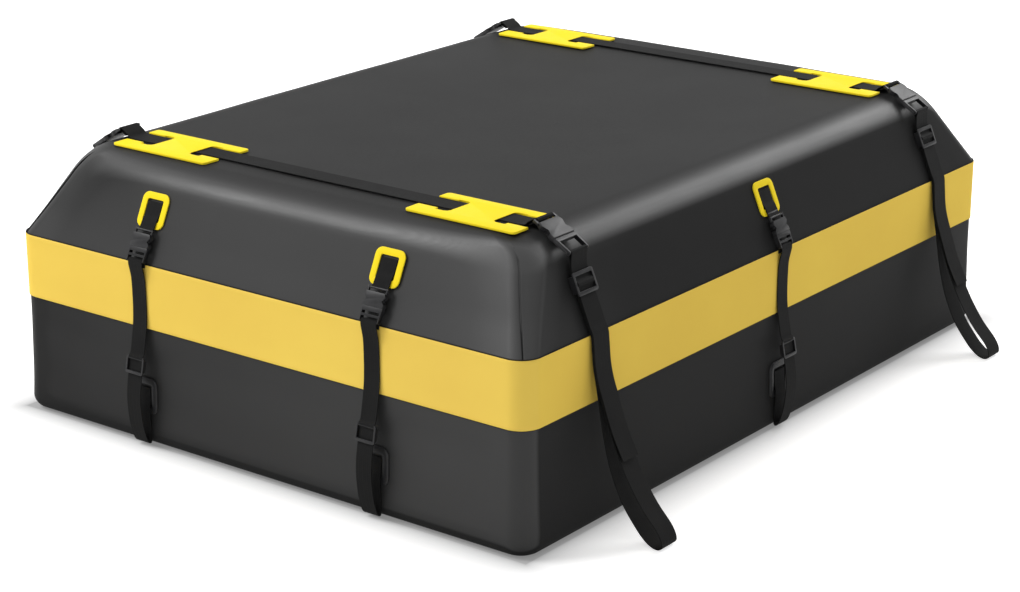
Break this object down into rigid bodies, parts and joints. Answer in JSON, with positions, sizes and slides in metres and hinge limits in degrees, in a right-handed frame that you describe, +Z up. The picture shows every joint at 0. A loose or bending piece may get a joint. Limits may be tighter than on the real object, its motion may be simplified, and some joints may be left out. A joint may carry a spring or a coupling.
{
  "type": "roof cargo bag",
  "caption": "Soft rectangular roof cargo bag with a crowned zip-on lid, a pale flap over the zip, webbing straps over the top and side release buckles at its sides and corners.",
  "frame": {"origin": "middle of the flat base, on the surface the bag stands on", "axes": "+X to the right across the bag, +Y to the back along its longer side, +Z up"},
  "size_m": [1.084, 1.1686, 0.3837],
  "materials": {
    "coated_fabric": "charcoal coated fabric, satin",
    "flap_fabric": "pale yellow coated fabric, satin",
    "zip_tape": "black woven tape with a plastic coil",
    "yellow_patch": "bright yellow moulded plastic, satin",
    "webbing": "black woven webbing",
    "black_plastic": "black moulded plastic, satin"
  },
  "bodies": {
    "root": {"tub": "coated_fabric", "lid": "coated_fabric", "zip_flap": "flap_fabric", "zip_tape_lower": "zip_tape", "zip_tape_upper": "zip_tape", "guide_plate_front_left": "yellow_patch", "guide_plate_front_right": "yellow_patch", "guide_plate_back_left": "yellow_patch", "guide_plate_back_right": "yellow_patch", "top_strap_front": "webbing", "top_strap_back": "webbing", "corner_socket_front_left": "black_plastic", "corner_socket_front_right": "black_plastic", "corner_socket_back_left": "black_plastic", "corner_socket_back_right": "black_plastic", "corner_strap_front_left": "webbing", "corner_strap_front_right": "webbing", "corner_strap_back_left": "webbing", "corner_strap_back_right": "webbing", "side_ring_front_left": "yellow_patch", "side_ring_front_right": "yellow_patch", "side_ring_back_left": "yellow_patch", "side_ring_back_right": "yellow_patch", "side_ring_left": "yellow_patch", "side_ring_right": "yellow_patch", "side_socket_front_left": "black_plastic", "side_socket_front_right": "black_plastic", "side_socket_back_left": "black_plastic", "side_socket_back_right": "black_plastic", "side_socket_left": "black_plastic", "side_socket_right": "black_plastic", "side_strap_front_left": "webbing", "side_strap_front_right": "webbing", "side_strap_back_left": "webbing", "side_strap_back_right": "webbing", "side_strap_left": "webbing", "side_strap_right": "webbing"},
    "zip_slider_left": {"zip_slider_left": "black_plastic"},
    "zip_slider_right": {"zip_slider_right": "black_plastic"},
    "corner_tongue_front_left": {"corner_tongue_front_left": "black_plastic"},
    "corner_slide_front_left": {"corner_slide_front_left": "black_plastic"},
    "corner_tongue_front_right": {"corner_tongue_front_right": "black_plastic"},
    "corner_slide_front_right": {"corner_slide_front_right": "black_plastic"},
    "corner_tongue_back_left": {"corner_tongue_back_left": "black_plastic"},
    "corner_slide_back_left": {"corner_slide_back_left": "black_plastic"},
    "corner_tongue_back_right": {"corner_tongue_back_right": "black_plastic"},
    "corner_slide_back_right": {"corner_slide_back_right": "black_plastic"},
    "side_tongue_front_left": {"side_tongue_front_left": "black_plastic"},
    "side_slide_front_left": {"side_slide_front_left": "black_plastic"},
    "side_tongue_front_right": {"side_tongue_front_right": "black_plastic"},
    "side_slide_front_right": {"side_slide_front_right": "black_plastic"},
    "side_tongue_back_left": {"side_tongue_back_left": "black_plastic"},
    "side_slide_back_left": {"side_slide_back_left": "black_plastic"},
    "side_tongue_back_right": {"side_tongue_back_right": "black_plastic"},
    "side_slide_back_right": {"side_slide_back_right": "black_plastic"},
    "side_tongue_left": {"side_tongue_left": "black_plastic"},
    "side_slide_left": {"side_slide_left": "black_plastic"},
    "side_tongue_right": {"side_tongue_right": "black_plastic"},
    "side_slide_right": {"side_slide_right": "black_plastic"}
  },
  "joints": [
    {"name": "zip_run_left", "type": "slide", "parent": "root", "child": "zip_slider_left", "axis": [-1, 0, 0], "range_m": [0, 0.35]},
    {"name": "zip_run_right", "type": "slide", "parent": "root", "child": "zip_slider_right", "axis": [1, 0, 0], "range_m": [0, 0.35]},
    {"name": "corner_buckle_front_left", "type": "slide", "parent": "root", "child": "corner_tongue_front_left", "axis": [-0.8508, 0, -0.5254], "range_m": [0, 0.028], "deforming": ["corner_strap_front_left"]},
    {"name": "corner_adjust_front_left", "type": "slide", "parent": "corner_tongue_front_left", "child": "corner_slide_front_left", "axis": [-0.3907, 0, -0.9205], "range_m": [-0.004, 0.025]},
    {"name": "corner_buckle_front_right", "type": "slide", "parent": "root", "child": "corner_tongue_front_right", "axis": [0.8508, 0, -0.5254], "range_m": [0, 0.028], "deforming": ["corner_strap_front_right"]},
    {"name": "corner_adjust_front_right", "type": "slide", "parent": "corner_tongue_front_right", "child": "corner_slide_front_right", "axis": [0.3907, 0, -0.9205], "range_m": [-0.004, 0.025]},
    {"name": "corner_buckle_back_left", "type": "slide", "parent": "root", "child": "corner_tongue_back_left", "axis": [-0.8508, 0, -0.5254], "range_m": [0, 0.028], "deforming": ["corner_strap_back_left"]},
    {"name": "corner_adjust_back_left", "type": "slide", "parent": "corner_tongue_back_left", "child": "corner_slide_back_left", "axis": [-0.3907, 0, -0.9205], "range_m": [-0.004, 0.025]},
    {"name": "corner_buckle_back_right", "type": "slide", "parent": "root", "child": "corner_tongue_back_right", "axis": [0.8508, 0, -0.5254], "range_m": [0, 0.028], "deforming": ["corner_strap_back_right"]},
    {"name": "corner_adjust_back_right", "type": "slide", "parent": "corner_tongue_back_right", "child": "corner_slide_back_right", "axis": [0.3907, 0, -0.9205], "range_m": [-0.004, 0.025]},
    {"name": "side_buckle_front_left", "type": "slide", "parent": "root", "child": "side_tongue_front_left", "axis": [0, -0.4307, -0.9025], "range_m": [0, 0.016], "deforming": ["side_strap_front_left"]},
    {"name": "side_adjust_front_left", "type": "slide", "parent": "root", "child": "side_slide_front_left", "axis": [0, 0.1999, 0.9798], "range_m": [-0.006, 0.02]},
    {"name": "side_buckle_front_right", "type": "slide", "parent": "root", "child": "side_tongue_front_right", "axis": [0, -0.4307, -0.9025], "range_m": [0, 0.016], "deforming": ["side_strap_front_right"]},
    {"name": "side_adjust_front_right", "type": "slide", "parent": "root", "child": "side_slide_front_right", "axis": [0, 0.1999, 0.9798], "range_m": [-0.006, 0.02]},
    {"name": "side_buckle_back_left", "type": "slide", "parent": "root", "child": "side_tongue_back_left", "axis": [0, 0.4307, -0.9025], "range_m": [0, 0.016], "deforming": ["side_strap_back_left"]},
    {"name": "side_adjust_back_left", "type": "slide", "parent": "root", "child": "side_slide_back_left", "axis": [0, -0.1999, 0.9798], "range_m": [-0.006, 0.02]},
    {"name": "side_buckle_back_right", "type": "slide", "parent": "root", "child": "side_tongue_back_right", "axis": [0, 0.4307, -0.9025], "range_m": [0, 0.016], "deforming": ["side_strap_back_right"]},
    {"name": "side_adjust_back_right", "type": "slide", "parent": "root", "child": "side_slide_back_right", "axis": [0, -0.1999, 0.9798], "range_m": [-0.006, 0.02]},
    {"name": "side_buckle_left", "type": "slide", "parent": "root", "child": "side_tongue_left", "axis": [-0.3907, 0, -0.9205], "range_m": [0, 0.016], "deforming": ["side_strap_left"]},
    {"name": "side_adjust_left", "type": "slide", "parent": "root", "child": "side_slide_left", "axis": [0.1999, 0, 0.9798], "range_m": [-0.006, 0.02]},
    {"name": "side_buckle_right", "type": "slide", "parent": "root", "child": "side_tongue_right", "axis": [0.3907, 0, -0.9205], "range_m": [0, 0.016], "deforming": ["side_strap_right"]},
    {"name": "side_adjust_right", "type": "slide", "parent": "root", "child": "side_slide_right", "axis": [-0.1999, 0, 0.9798], "range_m": [-0.006, 0.02]}
  ]
}
